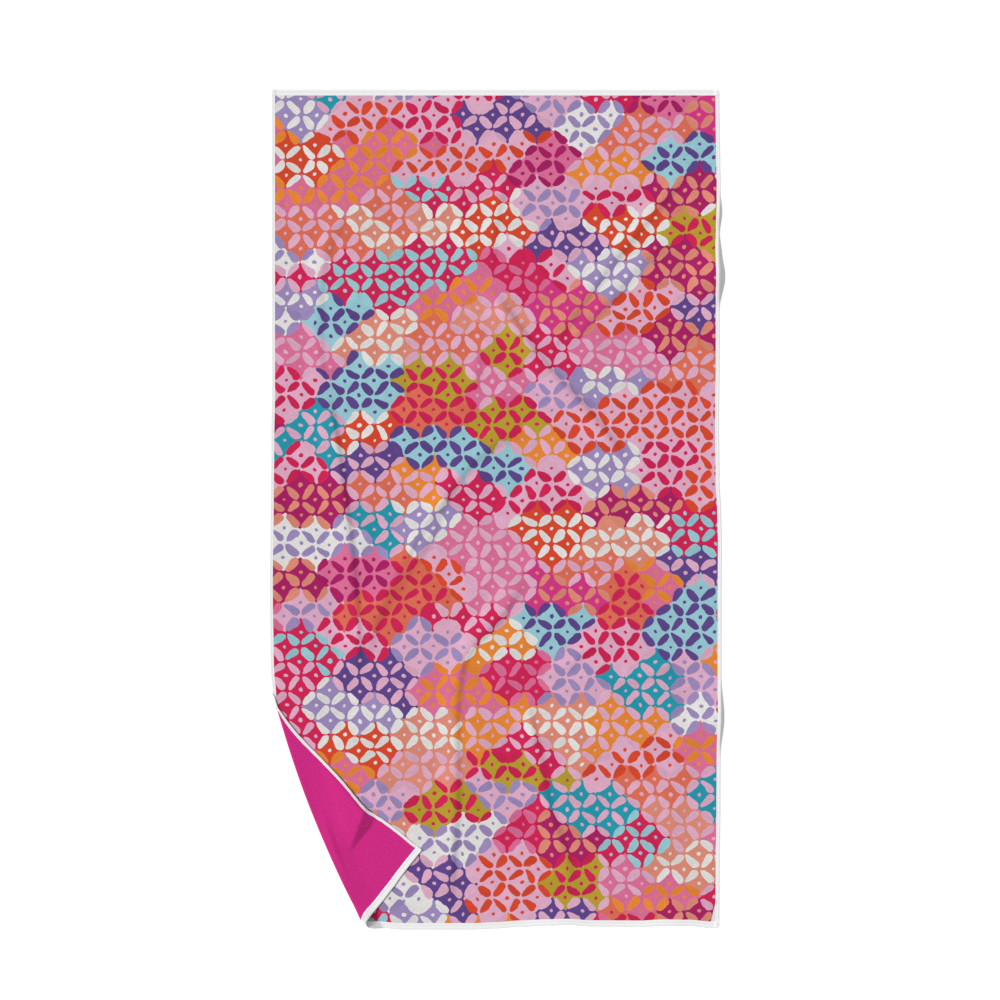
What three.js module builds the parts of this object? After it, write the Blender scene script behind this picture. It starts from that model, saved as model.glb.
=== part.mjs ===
// Microfibre beach towel spread face up, its lower left corner turned over so that the plain back shows.
// Millimetres. The flat cloth is measured across from its left side and along from its lower end.
// It lies on the plane z = 0 with its upper end toward +Y.
import * as THREE from "three";

// The flat towel
const width = 860;
const length = 1605;
const clothThickness = 1.5;
const hemThickness = 3;
const sideHem = 7.5;
const endHem = 11.5;
const hemBevel = 1.2;
const hemRamp = 24; // the cloth comes down from the hem's height to the floor over this width

// The crease of the turned corner is an arc from the left side to the lower end, bowed toward the corner
const creaseTop = 446;
const creaseFoot = 178.5;
const creaseBow = 12.5;

// The roll at the crease, measured on the printed face, which is its inner side
const rollRadius = 3;
const settleAngle = THREE.MathUtils.degToRad(20);
const settleRadius = 24;
const layerGap = 0.9;

// The turned flap bulges past a plain reflection, except along a dart that gathers its side
const flapBulge = 11.5;
const bulgeStart = 23;
const bulgeFull = 60;
const bulgeDirection = new THREE.Vector2(0.17, 0.985);
const pinchHalfWidth = 25;

// The dart is a ridge with a gentle flank and a steep one, highest at the side hem
const dartEdge = new THREE.Vector2(0, 148);
const dartEnd = new THREE.Vector2(85, 110);
const dartHeight = 8;
const dartGentle = 60;
const dartSteep = 25;

// Soft creases pressed into the spread cloth: points across and along, half width and height
const creases = [
  { points: [[150, 1385], [90, 1240], [98, 1030], [140, 800], [166, 470]], half: 34, height: 4 },
  { points: [[185, 545], [250, 690], [330, 815], [490, 950]], half: 32, height: 3.5 },
  { points: [[400, 1240], [470, 1150], [590, 1000], [700, 880]], half: 34, height: 4.5 },
  { points: [[820, 1470], [640, 1250], [530, 1080]], half: 32, height: 3 },
  { points: [[495, 676], [375, 530], [355, 400], [360, 240], [345, 40]], half: 32, height: 4 },
  { points: [[485, 456], [522, 250], [552, 90]], half: 34, height: 3 },
  { points: [[552, 839], [706, 781], [845, 770]], half: 30, height: 2.5 },
];
const creaseTaper = 90;

// Waves of the outline: middle along its side, half width, push outward and lift of the edge
const rightWaves = [
  { at: 1245, half: 42, out: 9, lift: 6 },
  { at: 1400, half: 50, out: 1.5, lift: 3 },
  { at: 690, half: 240, out: 3, lift: 0 },
  { at: 417, half: 70, out: 4, lift: 3 },
];
const lowerWaves = [
  { at: 315, half: 115, out: 5, lift: 0 },
  { at: 545, half: 80, out: -2, lift: 2 },
  { at: 760, half: 80, out: -2, lift: 2.5 },
];
const leftWaves = [{ at: 640, half: 260, out: 3, lift: 0 }];
const waveReach = 90;

// The mesh: columns that start on the corner's edge line, the other columns, and the rows
const cornerColumns = 18;
const plainColumns = 24;
const panelRows = 42;
const hemLines = 2; // rows that the bevelled hem adds at each end
const rowsBeforeRoll = [-46, -30, -16, -6];
const rollSteps = 10;
const settleSteps = 4;
const flapRows = 10;
const slopeStep = 0.5;

// The arc's centre and radius from its ends and bow
function creaseArc() {
  const top = new THREE.Vector2(0, creaseTop);
  const foot = new THREE.Vector2(creaseFoot, 0);
  const chord = top.distanceTo(foot);
  const radius = (chord * chord) / (8 * creaseBow) + creaseBow / 2;
  const middle = top.clone().lerp(foot, 0.5);
  const inward = new THREE.Vector2(creaseTop, creaseFoot).normalize();
  return { centre: middle.addScaledVector(inward, radius - creaseBow), radius };
}

const arc = creaseArc();
const rollStart = arc.radius - rollRadius - clothThickness;
const rollLength = rollRadius * (Math.PI + settleAngle);
const settleDrop = settleRadius * (1 - Math.cos(settleAngle));
const slopeDrop = rollRadius * (1 + Math.cos(settleAngle)) - settleDrop - layerGap;
const slopeLength = slopeDrop / Math.sin(settleAngle);
const settleLength = settleRadius * settleAngle;

function hump(distance, half) {
  const near = Math.min(Math.abs(distance) / half, 1);
  return (1 + Math.cos(Math.PI * near)) / 2;
}

// How far out of the arc and how high the printed face is after this much cloth past the roll's start
function rollAt(past) {
  if (past <= 0) {
    return { out: past, up: 0 };
  }
  const turned = Math.min(past, rollLength) / rollRadius;
  let out = rollRadius * Math.sin(turned);
  let up = rollRadius * (1 - Math.cos(turned));
  const sloped = THREE.MathUtils.clamp(past - rollLength, 0, slopeLength);
  out -= sloped * Math.cos(settleAngle);
  up -= sloped * Math.sin(settleAngle);
  const settled = THREE.MathUtils.clamp(past - rollLength - slopeLength, 0, settleLength);
  const left = settleAngle - settled / settleRadius;
  out -= settleRadius * (Math.sin(settleAngle) - Math.sin(left));
  up -= settleRadius * (Math.cos(left) - Math.cos(settleAngle));
  out -= Math.max(past - rollLength - slopeLength - settleLength, 0);
  return { out, up };
}

// Distance to a crease's line and how far along it the nearest point is
function nearestOnLine(x, y, points) {
  let before = 0;
  let best = { distance: Infinity, along: 0 };
  points.slice(1).forEach(([endX, endY], index) => {
    const [startX, startY] = points[index];
    const span = Math.hypot(endX - startX, endY - startY);
    const raw = ((x - startX) * (endX - startX) + (y - startY) * (endY - startY)) / (span * span);
    const share = THREE.MathUtils.clamp(raw, 0, 1);
    const distance = Math.hypot(x - startX - share * (endX - startX), y - startY - share * (endY - startY));
    if (distance < best.distance) {
      best = { distance, along: before + share * span };
    }
    before += span;
  });
  return { ...best, whole: before };
}

function creaseHeight(x, y) {
  let height = 0;
  for (const crease of creases) {
    const near = nearestOnLine(x, y, crease.points);
    const end = Math.min(near.along, near.whole - near.along);
    const taper = THREE.MathUtils.smoothstep(end, 0, creaseTaper);
    height = Math.max(height, crease.height * taper * hump(near.distance, crease.half));
  }
  return height;
}

function waveAt(waves, along, depth) {
  const reach = 1 - THREE.MathUtils.smoothstep(depth, 0, waveReach);
  const wave = { out: 0, lift: 0 };
  for (const { at, half, out, lift } of waves) {
    const share = reach * hump(along - at, half);
    wave.out += out * share;
    wave.lift += lift * share;
  }
  return wave;
}

// Moves a point of the plan with the outline's waves and gives the printed face's height there
function spread(x, y) {
  const right = waveAt(rightWaves, y, width - x);
  const left = waveAt(leftWaves, y, x);
  const lower = waveAt(lowerWaves, x, y);
  const depth = Math.min(x - sideHem, width - sideHem - x, y - endHem, length - endHem - y);
  const ramp = 1 - THREE.MathUtils.smoothstep(depth, 0, hemRamp);
  const hemLift = (hemThickness - clothThickness) * ramp;
  const lift = Math.max(right.lift, lower.lift, creaseHeight(x, y));
  return new THREE.Vector3(x + right.out - left.out, y - lower.out, clothThickness + hemLift + lift);
}

// The ridge of the dart at a point of the flat cloth
function dartRise(across, along) {
  const line = dartEdge.clone().sub(dartEnd);
  const reach = line.length();
  line.normalize();
  const from = new THREE.Vector2(across, along).sub(dartEnd);
  const share = THREE.MathUtils.clamp(from.dot(line) / reach, 0, 1);
  const aside = from.cross(line);
  const half = aside > 0 ? dartGentle : Math.max(dartSteep * share, 1);
  return dartHeight * THREE.MathUtils.smoothstep(share, 0, 1) * hump(aside, half);
}

// Where a point of the flat cloth's printed face lies
function place(across, along) {
  if (along > arc.centre.y) {
    return spread(across, along);
  }
  const flat = new THREE.Vector2(across, along);
  const radial = flat.clone().sub(arc.centre);
  const past = radial.length() - rollStart;
  const roll = rollAt(past);
  radial.normalize();
  const plan = arc.centre.clone().addScaledVector(radial, rollStart + roll.out);
  let rise = roll.up;
  const onFlap = THREE.MathUtils.smoothstep(past, bulgeStart, bulgeFull);
  if (onFlap > 0) {
    const aside = flat.clone().sub(dartEdge).cross(dartEnd.clone().sub(dartEdge).normalize());
    const pinch = Math.exp(-((aside / pinchHalfWidth) ** 2));
    plan.addScaledVector(bulgeDirection, flapBulge * onFlap * (1 - pinch));
    rise += onFlap * dartRise(across, along);
  }
  return spread(plan.x, plan.y).add(new THREE.Vector3(0, 0, rise));
}

// The unit normal of the printed face, from its slopes
function faceNormal(across, along) {
  const dAcross = place(across + slopeStep, along).sub(place(across - slopeStep, along));
  const dAlong = place(across, along + slopeStep).sub(place(across, along - slopeStep));
  return dAcross.cross(dAlong).normalize();
}

function thicknessAt(across, along) {
  const side = Math.min(across, width - across) - (sideHem - hemBevel);
  const end = Math.min(along, length - along) - (endHem - hemBevel);
  return Math.min(side, end) < hemBevel / 2 ? hemThickness : clothThickness;
}

// Points of the flat cloth on a circle about the arc's centre
function onCircleAcross(radius, across) {
  return [across, arc.centre.y - Math.sqrt(radius ** 2 - (across - arc.centre.x) ** 2)];
}

function onCircleAlong(radius, along) {
  return [arc.centre.x - Math.sqrt(radius ** 2 - (along - arc.centre.y) ** 2), along];
}

// One row of the turned corner, from the left side to the lower end
function cornerRow(past) {
  const radius = rollStart + past;
  const leftHem = [0, sideHem - hemBevel, sideHem].map((across) => onCircleAcross(radius, across));
  const lowerHem = [endHem, endHem - hemBevel, 0].map((along) => onCircleAlong(radius, along));
  const angleOf = ([x, y]) => Math.atan2(arc.centre.y - y, arc.centre.x - x);
  const from = angleOf(leftHem[2]);
  const to = angleOf(lowerHem[0]);
  const between = [];
  const steps = cornerColumns - 4;
  for (let step = 1; step < steps; step += 1) {
    const angle = from + ((to - from) * step) / steps;
    between.push([arc.centre.x - radius * Math.cos(angle), arc.centre.y - radius * Math.sin(angle)]);
  }
  return [...leftHem, ...between, ...lowerHem];
}

// How far past the roll's start each row of the corner lies, up to the row through the hems' inner corner
function cornerPasts() {
  const hemCorner = new THREE.Vector2(sideHem, endHem).distanceTo(arc.centre) - rollStart;
  const pasts = [...rowsBeforeRoll];
  for (let step = 0; step <= rollSteps; step += 1) {
    pasts.push((rollLength * step) / rollSteps);
  }
  const settledAt = rollLength + slopeLength + settleLength;
  for (let step = 1; step <= settleSteps; step += 1) {
    pasts.push(THREE.MathUtils.lerp(rollLength, settledAt, step / settleSteps));
  }
  for (let step = 1; step <= flapRows; step += 1) {
    pasts.push(THREE.MathUtils.lerp(settledAt, hemCorner, step / flapRows));
  }
  return pasts;
}

// The columns lean from their feet to an even spacing at the upper end
function columnTop(column) {
  const count = cornerColumns + plainColumns + 2;
  const hemmed = new Map([
    [0, 0],
    [1, sideHem - hemBevel],
    [count - 1, width - sideHem + hemBevel],
    [count, width],
  ]);
  return hemmed.get(column) ?? THREE.MathUtils.lerp(sideHem, width - sideHem, (column - 2) / (count - 4));
}

// The feet of the panel's columns: the corner's first row, then the lower end
function columnFeet() {
  const feet = cornerRow(rowsBeforeRoll[0]);
  const from = feet[cornerColumns][0];
  for (let column = 1; column <= plainColumns; column += 1) {
    feet.push([THREE.MathUtils.lerp(from, width - sideHem, column / plainColumns), 0]);
  }
  feet.push([width - sideHem + hemBevel, 0], [width, 0]);
  return feet;
}

// The panel's rows of points, from the columns' feet to the upper end
function panelRowsOfPoints() {
  const feet = columnFeet();
  const upperHem = [length - endHem, length - endHem + hemBevel, length];
  const rows = [];
  for (let row = 0; row <= panelRows + 2 * hemLines; row += 1) {
    const share = THREE.MathUtils.clamp((row - hemLines) / panelRows, 0, 1);
    rows.push(feet.map(([across, foot], column) => {
      const besideCorner = [foot, foot + hemBevel, foot + 2 * hemBevel];
      const lowerHem = column < cornerColumns ? besideCorner : [0, endHem - hemBevel, endHem];
      const between = THREE.MathUtils.lerp(lowerHem[hemLines], upperHem[0], share);
      const along = lowerHem[row] ?? upperHem[row - hemLines - panelRows] ?? between;
      return [THREE.MathUtils.lerp(across, columnTop(column), share), along];
    }));
  }
  return rows;
}

// Two triangles for each cell between rows of point numbers
function weave(rows) {
  const triangles = [];
  rows.slice(1).forEach((row, index) => {
    const below = rows[index];
    for (let column = 1; column < row.length; column += 1) {
      triangles.push([below[column - 1], below[column], row[column]]);
      triangles.push([below[column - 1], row[column], row[column - 1]]);
    }
  });
  return triangles;
}

// The flat cloth as points and triangles
function flatMesh() {
  const points = [];
  const add = (point) => points.push(point) - 1;
  const panel = panelRowsOfPoints().map((row) => row.map(add));
  const pasts = cornerPasts();
  const corner = pasts.slice(1, -1).map((past) => cornerRow(past).map(add));
  const cornerRows = [...corner].reverse();
  cornerRows.push(panel[0].slice(0, cornerColumns + 1));
  const triangles = [...weave(panel), ...weave(cornerRows)];

  // Past the last row the two hems meet round their inner corner
  const last = corner.at(-1);
  const through = cornerRow(pasts.at(-1));
  const inner = add([sideHem, endHem]);
  const outer = add([sideHem - hemBevel, endHem - hemBevel]);
  const leftEnds = [add(through[0]), add(through[1])];
  const lowerEnds = [add(through[cornerColumns - 1]), add(through[cornerColumns])];
  const tip = add([0, 0]);
  triangles.push(...weave([[...leftEnds, inner], last.slice(0, 3)]));
  triangles.push(...weave([[inner, ...lowerEnds], last.slice(-3)]));
  for (let column = 3; column < cornerColumns - 1; column += 1) {
    triangles.push([inner, last[column], last[column - 1]]);
  }
  const around = [tip, lowerEnds[1], lowerEnds[0], inner, leftEnds[1], leftEnds[0], tip];
  around.slice(1).forEach((point, index) => triangles.push([outer, around[index], point]));
  return { points, triangles, outline: outlineOf(triangles) };
}

// Edges that only one triangle uses
function outlineOf(triangles) {
  const seen = new Map();
  for (const triangle of triangles) {
    triangle.forEach((from, index) => {
      const to = triangle[(index + 1) % 3];
      if (!seen.delete(`${to},${from}`)) {
        seen.set(`${from},${to}`, [from, to]);
      }
    });
  }
  return [...seen.values()];
}

// The closed sheet: printed face, back and edge
function towelGeometry() {
  const flat = flatMesh();
  const count = flat.points.length;
  const front = flat.points.map(([across, along]) => place(across, along));
  const back = flat.points.map(([across, along], index) => {
    const normal = faceNormal(across, along);
    return front[index].clone().addScaledVector(normal, -thicknessAt(across, along));
  });
  const faces = [];
  for (const [a, b, c] of flat.triangles) {
    faces.push(a, b, c, count + a, count + c, count + b);
  }
  for (const [from, to] of flat.outline) {
    faces.push(from, count + to, to, from, count + from, count + to);
  }
  const geometry = new THREE.BufferGeometry();
  const numbers = [...front, ...back].flatMap((point) => point.toArray());
  geometry.setAttribute("position", new THREE.Float32BufferAttribute(numbers, 3));
  geometry.setIndex(faces);
  geometry.computeVertexNormals();
  return geometry;
}

// Centred on the origin in plan, with its underside on z = 0
function centred(geometry) {
  geometry.computeBoundingBox();
  const { min, max } = geometry.boundingBox;
  geometry.translate(-(min.x + max.x) / 2, -(min.y + max.y) / 2, -min.z);
  return geometry;
}

const cloth = new THREE.MeshStandardMaterial({ color: 0xd9628c, roughness: 0.95, metalness: 0 });
const towel = new THREE.Mesh(centred(towelGeometry()), cloth);
towel.name = "towel";

const group = new THREE.Group();
group.add(towel);

export default group;
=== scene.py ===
# Microfibre beach towel spread face up, its lower left corner turned over so that the plain back shows.
# The towel is cut and folded in millimetres, across from its left side and along from its lower end.
import math

import bpy
import numpy as np
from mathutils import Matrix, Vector


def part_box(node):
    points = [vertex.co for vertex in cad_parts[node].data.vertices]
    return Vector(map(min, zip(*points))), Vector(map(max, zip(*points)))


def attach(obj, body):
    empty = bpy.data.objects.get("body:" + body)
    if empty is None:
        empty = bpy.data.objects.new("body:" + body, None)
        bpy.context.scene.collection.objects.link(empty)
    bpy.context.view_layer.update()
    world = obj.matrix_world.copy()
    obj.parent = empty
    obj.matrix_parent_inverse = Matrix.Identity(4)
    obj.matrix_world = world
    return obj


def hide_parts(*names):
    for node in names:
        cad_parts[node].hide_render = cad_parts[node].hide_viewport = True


MM = 0.001

# The flat towel
WIDTH = 860.0
LENGTH = 1605.0
CLOTH_THICKNESS = 1.4
HEM_THICKNESS = 2.3
SIDE_HEM = 7.5
END_HEM = 12.3
SIDE_STITCH = 4.6  # from the outer edge to the row of stitches
END_STITCH = 6.7
HEM_RAMP = 24.0
OVERLAP_STEP = 0.4  # the end hem lies on the side hem at the corners
CORNER_ROUNDING = {(0, 0): 2.5, (0, 1): 3.0, (1, 0): 8.0, (1, 1): 7.0}  # by side and end

# The crease of the turned corner is an arc bowed toward the corner, rolled over on a small radius
CREASE_TOP = 446.0
CREASE_FOOT = 178.5
CREASE_BOW = 12.5
ROLL_RADIUS = 2.0
TAKE_UP = -0.7  # how much further out the roll starts
SETTLE_ANGLE = math.radians(5.5)
SETTLE_RADIUS = 30.0
LAYER_GAP = 0.3
TOP_SQUASH = 0.75  # the roll is pressed flat where it meets the left side
TOP_SQUASH_RISE = (310.0, 440.0)

# Where the crease meets the lower end, the doubled hem holds the fold open and the hem below is drawn in
FOOT_LIFT = 12.6
FOOT_REACH = 28.0
FOOT_TOP = (10.0, 45.0)
FOOT_END = (15.0, 60.0)
FOOT_TUCK = 11.0
FOOT_TUCK_END = (6.0, 14.0)
TUCK_TOP = 15.0

# The turned flap is pulled out of true: how far its side moves outward and its end inward, by place
SIDE_PULL = [
    (0, 8.0), (20, 8.2), (60, 9.7), (80, 9.3), (100, 8.2), (120, 5.6), (140, 2.2), (158, 2.7),
    (180, 4.8), (200, 6.8), (220, 7.8), (240, 8.0), (260, 7.3), (280, 6.2), (300, 4.5), (320, 2.2),
    (340, -0.3), (360, -2.7), (380, -4.2), (400, -5.3), (420, -6.0), (446, 0.0),
]
END_PULL = [
    (0, 6.5), (30, 5.7), (60, 4.6), (90, 3.2), (105, 3.3), (120, 3.2), (135, 3.8), (150, 4.8),
    (178, 5.3),
]
SIDE_OUTWARD = np.array([0.66, 0.75])
END_INWARD = np.array([-0.8, 0.6])
PULL_RAMP = (0.2, 0.75)
SIDE_SQUEEZE = 1.9  # the hem of the turned side looks narrower
SQUEEZE_END = 60.0
END_STRETCH = 1.2  # and that of its end wider
END_PULL_START = (0.0, 7.0)
END_PULL_TURN = (6.0, 18.0)

# The dart that gathers the side of the flap: its crest, and the flat steep facet beyond it
DART_EDGE = np.array([0.0, 147.5])
DART_END = np.array([86.0, 111.0])
DART_SLOPE = 0.43
DART_WIDTH = 24.0
DART_NARROWS = 0.62  # share of the dart along which the facet narrows to nothing
DART_GENTLE = 160.0
DART_GENTLE_CURVE = 1.3
DART_START = (5.0, 60.0)
DART_DROOP = 0.6  # at the outer edge of the hem

# Creases of the spread cloth: points down the crest, height, half widths on the lit and the dark side
CREASES = [
    ([(150, 1385), (93, 1279), (89, 1107), (102, 1011)], 2.2, 36, 13),
    ([(102, 1040), (127, 915), (141, 800), (154, 705), (166, 552), (164, 462)], 4.6, 48, 12),
    ([(495, 960), (399, 915), (304, 790), (246, 695), (198, 590), (174, 500)], 3.6, 48, 14),
    ([(380, 880), (332, 820), (300, 738), (246, 660), (205, 580)], 2.2, 29, 11),
    ([(409, 1232), (466, 1158), (524, 1072), (591, 1004), (639, 947), (690, 880)], 7.0, 43, 11),
    ([(351, 1452), (371, 1337), (404, 1222)], 2.0, 31, 13),
    ([(470, 1480), (432, 1394), (420, 1240)], 2.2, 32, 11),
    ([(821, 1475), (706, 1341), (629, 1245), (562, 1149), (520, 1080)], 3.0, 41, 11),
    ([(790, 1337), (706, 1272), (625, 1176), (548, 1100)], 2.2, 32, 11),
    ([(404, 1134), (390, 1060), (399, 1000)], 2.4, 28, 11),
    ([(300, 1010), (380, 996), (460, 980)], 2.0, 36, 12),
    ([(552, 843), (640, 806), (706, 785), (845, 776)], 2.4, 32, 12),
    ([(495, 680), (436, 592), (376, 534), (357, 475), (352, 398), (355, 245), (345, 111), (338, 30)],
     4.2, 43, 12),
    ([(353, 747), (371, 650), (420, 612)], 1.8, 28, 11),
    ([(677, 583), (610, 535), (562, 497), (520, 478)], 2.0, 29, 10),
    ([(821, 546), (744, 488), (687, 468), (556, 478)], 2.0, 29, 10),
    ([(485, 456), (503, 360), (518, 300), (528, 240), (556, 160), (576, 90), (584, 50)], 3.4, 41, 11),
    ([(667, 230), (728, 166)], 1.8, 28, 11),
]
CREASE_TAPER = 80.0
CREASE_FADE = (-4.0, HEM_RAMP)  # inward from the hem
# A faint crease of the turned flap beside its fold, in the same terms, and how far past the roll it starts
FLAP_CREASE = ([(97, 247), (108, 190), (118, 161), (125, 138), (139, 107), (150, 75)], 2.0, 24, 8)
FLAP_CREASE_START = (8.0, 16.0)
FROM_LAMP = np.array([0.93, -0.37])  # across the towel, away from the lamp
# Shallow waves all over the cloth: turns across and along, and where each starts
UNDULATION = 1.5
UNDULATION_WAVES = [
    (0.021, 0.013, 0.4), (-0.016, 0.024, 2.1), (0.034, -0.009, 4.0), (0.007, 0.031, 5.2),
]

# The outline: how far each edge lies outside the straight one, by the place along it
RIGHT_EDGE = [
    (0, -2), (107, -1.5), (222, 0), (300, 0.3), (345, 0.6), (400, 2.5), (450, 2.4), (510, 2.3),
    (624, 2.3), (740, 3), (797, 1.5), (854, -1.5), (970, -2.5), (1084, -1.3), (1250, -1.4),
    (1300, -2.2), (1345, -1.2), (1385, 0.3), (1425, 0.6), (1460, -0.2), (1543, -1.5), (1605, -2.1),
]
LEFT_EDGE = [
    (200, 0), (300, -1.6), (400, -2.2), (440, -2.4), (454, -2.2), (469, 0.2), (480, 1.2), (510, 2.6),
    (655, 4.4), (800, 2.6), (930, 1.4), (1030, 0),
]
LOWER_EDGE = [
    (178, -2), (200, 0.3), (250, 4.2), (384, 4.2), (430, 2.3), (476, -1.1), (522, -3.6), (568, -4.8),
    (614, -1.5), (706, -1), (752, -3.6), (798, -2.9), (844, 1), (860, 1),
]
EDGE_REACH = 90.0
# Soft lifts of the cloth near an edge: middle, half width and height
LOWER_LIFTS = [(545, 80, 2), (760, 80, 2.5)]
# Where the right edge curls down: middle, half width, reach of its flank and height of the hem
RIGHT_CURLS = [
    (1277, 66, 6.5, 7.5), (1235, 54, 8.5, 8.5), (1366, 45, 4.2, 5.5), (402, 80, 5.6, 7.0),
]
CURL_FLANK = 2.4

# How finely the cloth is made: steps of the full grid, and which of its lines each face keeps
CORNER_STEPS = 120
PLAIN_STEPS = 234
PANEL_ROWS = 252
FRONT_KEEPS = (1, 2)
BACK_KEEPS = (3, 6)
FLAP_ROWS = 64
ROWS_BEFORE_ROLL = np.array([
    -60.0, -52.0, -44.0, -38.0, -33.0, -29.0, -27.3, -23.0, -17.0, -12.0, -7.0, -3.0,
])
ROLL_STEPS = 14
SETTLE_STEPS = 10
WELD = 0.001  # points nearer than this are one
FAR_FROM_ROLL = -1000.0
BACK_SLACK = 0.4  # of the creases' height, which the coarser back stays lower
PROBE = 0.5  # how far to each side the slope is measured
SMOOTH_BELOW = math.radians(60)
# The cloth's finishes, in the order of the towel's material slots
FINISHES = ("print", "hem", "back")
PRINT, HEM, BACK = range(3)

STITCH_PITCH = 4.6
STITCH_LENGTH = 3.3
STITCH_RADIUS = 0.42
STITCH_RINGS = [(-0.5, 0.55), (-0.2, 1.0), (0.2, 1.0), (0.5, 0.55)]  # shares of its length and radius
STITCH_SUNK = 0.12
STITCH_MARGIN = 2.0  # clear of the towel's sides


def smooth_step(value, start, end):
    share = np.clip((value - start) / (end - start), 0.0, 1.0)
    return share * share * (3.0 - 2.0 * share)


def hump(distance, half):
    near = np.minimum(np.abs(distance) / half, 1.0)
    return (1.0 + np.cos(np.pi * near)) / 2.0


# The turned corner, as in the towel's solid
CHORD = math.hypot(CREASE_TOP, CREASE_FOOT)
ARC_RADIUS = CHORD * CHORD / (8 * CREASE_BOW) + CREASE_BOW / 2
ARC_INWARD = np.array([CREASE_TOP, CREASE_FOOT]) / CHORD
ALONG_CREASE = np.array([-ARC_INWARD[1], ARC_INWARD[0]])
ARC_CENTRE = np.array([CREASE_FOOT, CREASE_TOP]) / 2 + ARC_INWARD * (ARC_RADIUS - CREASE_BOW)
ROLL_START = ARC_RADIUS - ROLL_RADIUS - CLOTH_THICKNESS + TAKE_UP
ROLL_LENGTH = ROLL_RADIUS * (math.pi + SETTLE_ANGLE)
SETTLE_DROP = SETTLE_RADIUS * (1 - math.cos(SETTLE_ANGLE))
SLOPE_DROP = ROLL_RADIUS * (1 + math.cos(SETTLE_ANGLE)) - SETTLE_DROP - LAYER_GAP
SLOPE_LENGTH = SLOPE_DROP / math.sin(SETTLE_ANGLE)
SETTLE_LENGTH = SETTLE_RADIUS * SETTLE_ANGLE
SETTLED_AT = ROLL_LENGTH + SLOPE_LENGTH + SETTLE_LENGTH


def roll_at(past):
    """How far out of the arc and how high the printed face is, this much cloth past the roll's start."""
    turned = np.clip(past, 0.0, ROLL_LENGTH) / ROLL_RADIUS
    out = np.where(past <= 0, past, ROLL_RADIUS * np.sin(turned))
    up = ROLL_RADIUS * (1 - np.cos(turned))
    sloped = np.clip(past - ROLL_LENGTH, 0.0, SLOPE_LENGTH)
    out = out - sloped * math.cos(SETTLE_ANGLE)
    up = up - sloped * math.sin(SETTLE_ANGLE)
    left = SETTLE_ANGLE - np.clip(past - ROLL_LENGTH - SLOPE_LENGTH, 0.0, SETTLE_LENGTH) / SETTLE_RADIUS
    out = out - SETTLE_RADIUS * (math.sin(SETTLE_ANGLE) - np.sin(left))
    up = up - SETTLE_RADIUS * (np.cos(left) - math.cos(SETTLE_ANGLE))
    return out - np.maximum(past - SETTLED_AT, 0.0), up


def rounded_line(points):
    """The line through these points with its corners cut twice."""
    line = np.array(points, float)
    for _ in range(2):
        cut = np.stack([line[:-1] * 0.75 + line[1:] * 0.25, line[:-1] * 0.25 + line[1:] * 0.75], axis=1)
        line = np.concatenate([line[:1], cut.reshape(-1, 2), line[-1:]])
    return line


def one_crease(points, height, lit_half, dark_half, at):
    """One soft ridge with a gentle side toward the lamp and a steep one away from it."""
    line = rounded_line(points)
    chord = (line[-1] - line[0]) / np.hypot(*(line[-1] - line[0]))
    away = np.array([-chord[1], chord[0]])
    away = away * np.sign(away @ FROM_LAMP)
    nearest = np.full(len(at), np.inf)
    side = np.zeros(len(at))
    along = np.zeros(len(at))
    before = 0.0
    for start, end in zip(line, line[1:]):
        span = np.hypot(*(end - start))
        share = np.clip((at - start) @ (end - start) / span**2, 0.0, 1.0)
        off = at - start - share[:, None] * (end - start)
        distance = np.hypot(*off.T)
        closer = distance < nearest
        nearest = np.where(closer, distance, nearest)
        side = np.where(closer, off @ away, side)
        along = np.where(closer, before + share * span, along)
        before += span
    taper = smooth_step(np.minimum(along, before - along), 0.0, CREASE_TAPER)
    return height * taper * hump(nearest, np.where(side > 0, dark_half, lit_half))


def crease_height(x, y):
    """The soft ridges pressed into the spread cloth."""
    total = np.zeros_like(x)
    for points, height, lit_half, dark_half in CREASES:
        (left, low), (right, high) = np.min(points, axis=0), np.max(points, axis=0)
        reach = max(lit_half, dark_half)
        near = (x > left - reach) & (x < right + reach) & (y > low - reach) & (y < high + reach)
        if near.any():
            at = np.stack([x[near], y[near]], axis=1)
            total[near] += one_crease(points, height, lit_half, dark_half, at)
    return total


def undulation(x, y):
    waves = sum(np.sin(across * x + along * y + start) for across, along, start in UNDULATION_WAVES)
    return UNDULATION * (0.5 + 0.5 * waves / len(UNDULATION_WAVES))


def eased(at, points):
    """The value at these places, eased between a table's points."""
    places, values = (np.array(part, float) for part in zip(*points))
    before = np.clip(np.searchsorted(places, at) - 1, 0, len(places) - 2)
    share = smooth_step((at - places[before]) / (places[before + 1] - places[before]), 0.0, 1.0)
    return values[before] + (values[before + 1] - values[before]) * share


def lifted(lifts, along, depth):
    near = 1 - smooth_step(depth, 0.0, EDGE_REACH)
    return sum(height * near * hump(along - middle, half) for middle, half, height in lifts)


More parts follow.
